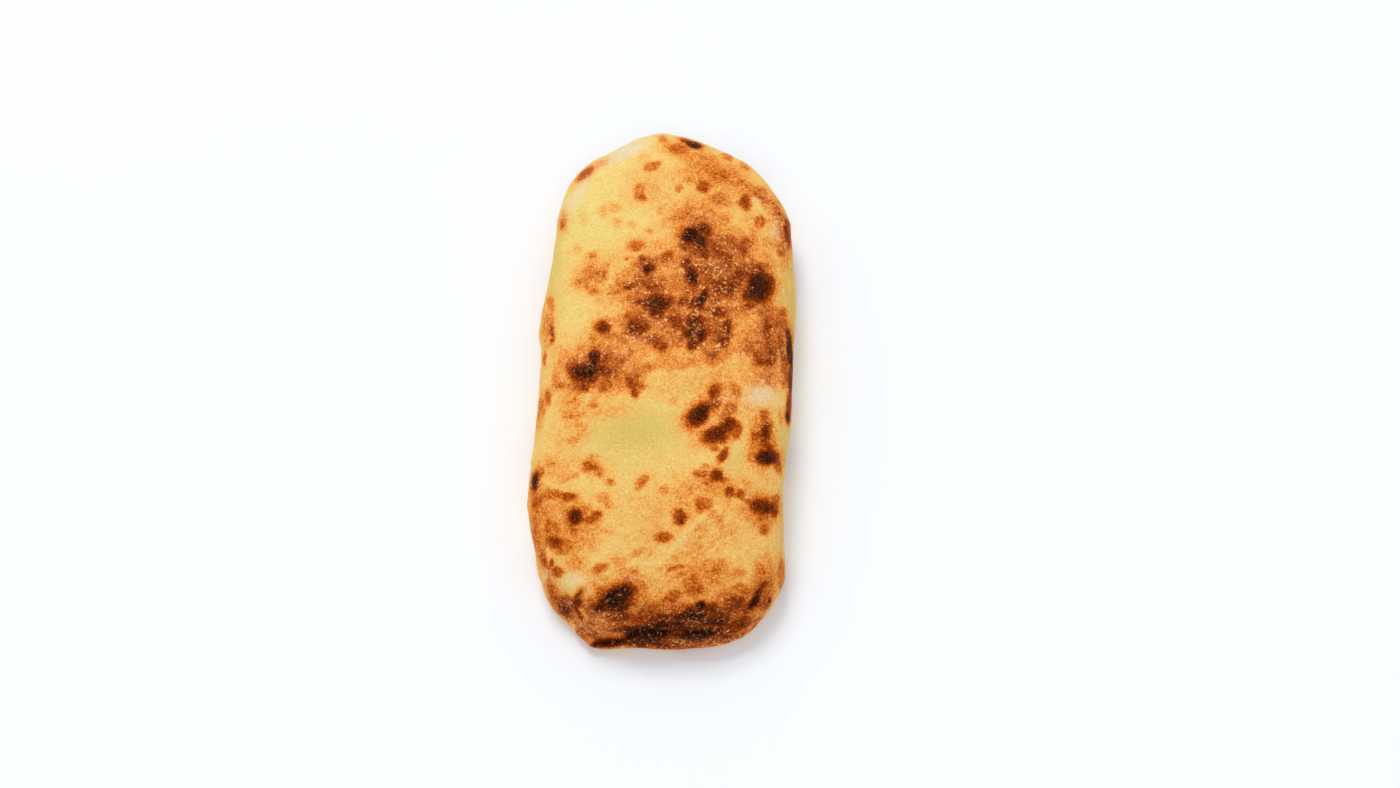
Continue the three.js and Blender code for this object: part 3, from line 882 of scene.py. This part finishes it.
def dress(mesh):
    """Shapes the crust and writes how far each point of it is baked, with painted shade in folds and
    creases, how gritty and veiled it is, and how raw, with painted shade on the sloping strips and in the
    hollow.
    """
    surface = Surface(mesh)
    strewn = strewn_marks(surface)
    raise_crust(mesh, surface, strewn)
    surface = Surface(mesh)
    bake_and_shade, broad = toast_and_shade(surface)
    bake_and_shade = layered([bake_and_shade, unseen_toast(surface, strewn)])
    grit = broad * np.interp(surface.points[:, 1] / MM, GRIT_PLACES, GRIT_SHARES)
    # the creases darken the colour in their grooves and lighten it on their ridges: painted shade and light
    bake_and_shade = clouded(surface.points, bake_and_shade, grit) + CREASES.strength * creases(surface)
    veil = layered(soft_layers(surface, VEILS))
    set_field(mesh, "bake_and_shade", np.clip(bake_and_shade * (1 - VEIL_COVER * veil), 0, 1))
    set_field(mesh, "grit", grit)
    set_field(mesh, "veil", veil)
    # raw dough, and painted shade on the sloping side strips and in the hollow
    set_field(mesh, "raw_and_shade", layered(soft_layers(surface, RAW_AND_SHADED)))


def linear(red, green, blue):
    """The colour of a surface that shows as this colour of the screen, from 0 to 255 each."""
    share = np.array((red, green, blue)) / 255
    light = np.where(share <= 0.04045, share / 12.92, ((share + 0.055) / 1.055) ** 2.4)
    return (*light / STUDIO_LIGHT, 1)


class Graph:
    """Makes and links the nodes of a material."""

    def __init__(self, name):
        self.material = bpy.data.materials.new(name)
        self.material.use_nodes = True
        self.shader = self.material.node_tree.nodes["Principled BSDF"]

    def feed(self, socket, value):
        """Links a node's output to a socket, or sets the socket's own value."""
        if isinstance(value, bpy.types.NodeSocket):
            self.material.node_tree.links.new(value, socket)
        else:
            socket.default_value = value

    def node(self, kind, output, inputs, **settings):
        """The named output of a new node."""
        node = self.material.node_tree.nodes.new("ShaderNode" + kind)
        for name, value in settings.items():
            setattr(node, name, value)
        for name, value in inputs.items():
            self.feed(node.inputs[name], value)
        return node.outputs[output]

    def field(self, name):
        """A number that the mesh keeps for each vertex."""
        return self.node("Attribute", "Fac", {}, attribute_name=name)

    def noise(self, grain):
        """Noise from 0 to 1 with grains of a given kind."""
        inputs = {
            "Vector": self.node("TexCoord", "Object", {}),
            "Scale": 1 / grain.size,
            "Detail": grain.detail,
            "Roughness": GRAIN_ROUGHNESS,
            "Distortion": grain.curl,
        }
        return self.node("TexNoise", "Fac", inputs)

    def span(self, value, source, target=(0, 1)):
        """Carries one range over to another, and holds what lies outside it at its ends."""
        inputs = {
            "Value": value,
            "From Min": source[0],
            "From Max": source[1],
            "To Min": target[0],
            "To Max": target[1],
        }
        return self.node("MapRange", "Result", inputs)

    def math(self, operation, first, second):
        return self.node("Math", "Value", {0: first, 1: second}, operation=operation)

    def add(self, first, second):
        return self.math("ADD", first, second)

    def times(self, first, second):
        return self.math("MULTIPLY", first, second)

    def cover(self, share, under, colour):
        """Lays a colour of the screen over another colour."""
        first, second, result = MIX_SOCKETS
        inputs = {"Factor": share, first: under, second: linear(*colour)}
        return self.node("Mix", result, inputs, data_type="RGBA")

    def ramp(self, share, colours):
        """A colour from a row of colours of the screen, by its share of the way along."""
        node = self.material.node_tree.nodes.new("ShaderNodeValToRGB")
        while len(node.color_ramp.elements) < len(colours):
            node.color_ramp.elements.new(0.5)
        for element, (position, colour) in zip(node.color_ramp.elements, colours.items()):
            element.position = position
            element.color = linear(*colour)
        self.feed(node.inputs["Fac"], share)
        return node.outputs["Color"]


def flour_and_glint_specks(graph, bake_and_shade, grit, veil):
    """Specks in clusters, partly flour and partly painted glints, more of them on gritty and veiled crust,
    and fainter where it is burnt.
    """
    clusters = graph.span(graph.noise(CLUSTER_GRAIN), (0.35, 0.65), (-0.045, 0.045))
    gritty = graph.span(grit, (0.2, 0.55), (-0.04, 0.05))
    favour = graph.add(graph.add(clusters, gritty), graph.times(veil, SPECKS_BY_VEIL))
    specks_and_glints = graph.span(graph.add(graph.noise(SPECK_GRAIN), favour), SPECK_RANGE)
    return graph.times(specks_and_glints, graph.span(bake_and_shade, (0.6, 0.9), (1, 0.45)))


def flour_powder_and_highlights(graph, bake_and_shade, grit):
    """Patches of powder and painted peach highlights on gritty crust, and none where it is dark."""
    patches = graph.span(graph.noise(POWDER_GRAIN), (0.4, 0.7), (0, 0.5))
    powder_and_highlight_share = graph.times(graph.span(grit, (0.3, 0.58)), patches)
    return graph.times(powder_and_highlight_share, graph.span(bake_and_shade, (0.5, 0.72), (1, 0)))


def crust_material():
    """Crust with a grain: coloured by its bake and painted shade, with raw dough and painted shade, powder
    and painted highlights, flour specks and painted glints, and cream scuffs and a painted highlight over
    that.
    """
    graph = Graph("crust")
    bake_and_shade = graph.field("bake_and_shade")
    grit = graph.field("grit")
    veil = graph.field("veil")
    coarse = graph.span(graph.noise(COARSE_GRAIN), GRAIN_RANGE, (-1, 1))
    fine = graph.span(graph.noise(FINE_GRAIN), GRAIN_RANGE, (-1, 1))
    specks_and_glints = flour_and_glint_specks(graph, bake_and_shade, grit, veil)

    weight = graph.add(graph.span(bake_and_shade, (0.1, 0.45), (0.5, 1)), graph.span(bake_and_shade, (0.45, 0.7), (0, 0.2)))
    uneven = graph.add(graph.span(coarse, (-1, 1), COARSE_BAKE), graph.span(fine, (-1, 1), FINE_BAKE))
    cleared = graph.times(bake_and_shade, graph.span(specks_and_glints, (0, 1), (1, SPECK_CLEARING)))
    colour = graph.ramp(graph.add(cleared, graph.times(uneven, weight)), CRUST_COLOURS)

    raw_and_shade_share = graph.times(graph.field("raw_and_shade"), graph.span(bake_and_shade, (0.15, 0.4), (0.7, 0)))
    scuffs_and_highlight = graph.times(graph.math("POWER", veil, CREAM_POWER), CREAM_COVER)
    # the raw colour also paints shade on the sloping side strips and in the hollow
    colour = graph.cover(raw_and_shade_share, colour, RAW_AND_SHADE_COLOUR)
    # the powder also paints peach highlights
    colour = graph.cover(flour_powder_and_highlights(graph, bake_and_shade, grit), colour, POWDER_AND_HIGHLIGHT_COLOUR)
    # the specks are partly flour and partly painted glints
    colour = graph.cover(graph.times(specks_and_glints, SPECK_COVER), colour, FLOUR_AND_GLINT_COLOUR)
    # the cream is scuffs, and one painted highlight at the start of a fold
    colour = graph.cover(scuffs_and_highlight, colour, CREAM_COLOUR)

    fine_shade = graph.span(graph.times(fine, weight), (-1, 1), FINE_SHADE)
    shade = graph.add(fine_shade, graph.span(coarse, (-1, 1), COARSE_SHADE))
    colour = graph.node("HueSaturation", "Color", {"Color": colour, "Value": shade})
    height = graph.add(graph.times(coarse, COARSE_BUMP), fine)
    bump = {"Strength": BUMP_STRENGTH, "Distance": BUMP_DEPTH, "Height": height}

    inputs = graph.shader.inputs
    graph.feed(inputs["Base Color"], colour)
    graph.feed(inputs["Roughness"], graph.span(bake_and_shade, (0.3, 1), (0.7, 0.5)))
    graph.feed(inputs["Specular IOR Level"], GLOSS)
    graph.feed(inputs["Normal"], graph.node("Bump", "Normal", bump))
    return graph.material


def build_loaf():
    loaf = fine_loaf()
    mesh = loaf.data
    dress(mesh)
    mesh.materials.clear()
    mesh.materials.append(crust_material())
    mesh.polygons.foreach_set("use_smooth", [True] * len(mesh.polygons))
    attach(loaf, "root")
    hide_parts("loaf")


def build_stage():
    bpy.ops.mesh.primitive_plane_add(size=FLOOR_SIZE)
    floor = bpy.context.object
    floor.name = "floor"
    material = bpy.data.materials.new("floor")
    material.use_nodes = True
    shader = material.node_tree.nodes["Principled BSDF"]
    shader.inputs["Base Color"].default_value = FLOOR_COLOUR
    shader.inputs["Roughness"].default_value = FLOOR_ROUGHNESS
    shader.inputs["Specular IOR Level"].default_value = 0
    floor.data.materials.append(material)


def add_lamp(name, location, size, power):
    """A square soft light that points at the loaf."""
    light = bpy.data.lights.new(name, "AREA")
    light.size = size
    light.energy = power
    lamp = bpy.data.objects.new(name, light)
    lamp.location = location
    lamp.visible_camera = False
    lamp.rotation_euler = (-lamp.location).to_track_quat("-Z", "Y").to_euler()
    bpy.context.scene.collection.objects.link(lamp)


def build_light():
    world = bpy.data.worlds.new("studio")
    bpy.context.scene.world = world
    world.use_nodes = True
    background = world.node_tree.nodes["Background"]
    background.inputs["Color"].default_value = SKY_COLOUR
    background.inputs["Strength"].default_value = SKY_STRENGTH

    add_lamp("key", location=(-0.85, 2.4, 4.3), size=1.8, power=103)
    add_lamp("fill", location=(0.2, -3, 4), size=3, power=24)
    view = bpy.context.scene.view_settings
    view.view_transform = "Standard"
    view.look = "None"


def build_camera():
    camera = bpy.data.cameras.new("camera")
    camera.lens = LENS_MM
    camera.sensor_width = SENSOR_MM
    camera.clip_start = NEAREST_SEEN
    holder = bpy.data.objects.new("camera", camera)
    holder.location = camera_axes()[0]
    holder.rotation_euler = (math.pi / 2 - CAMERA_ELEVATION, 0, 0)
    bpy.context.scene.collection.objects.link(holder)
    bpy.context.scene.camera = holder


build_camera()
build_stage()
build_light()
build_loaf()
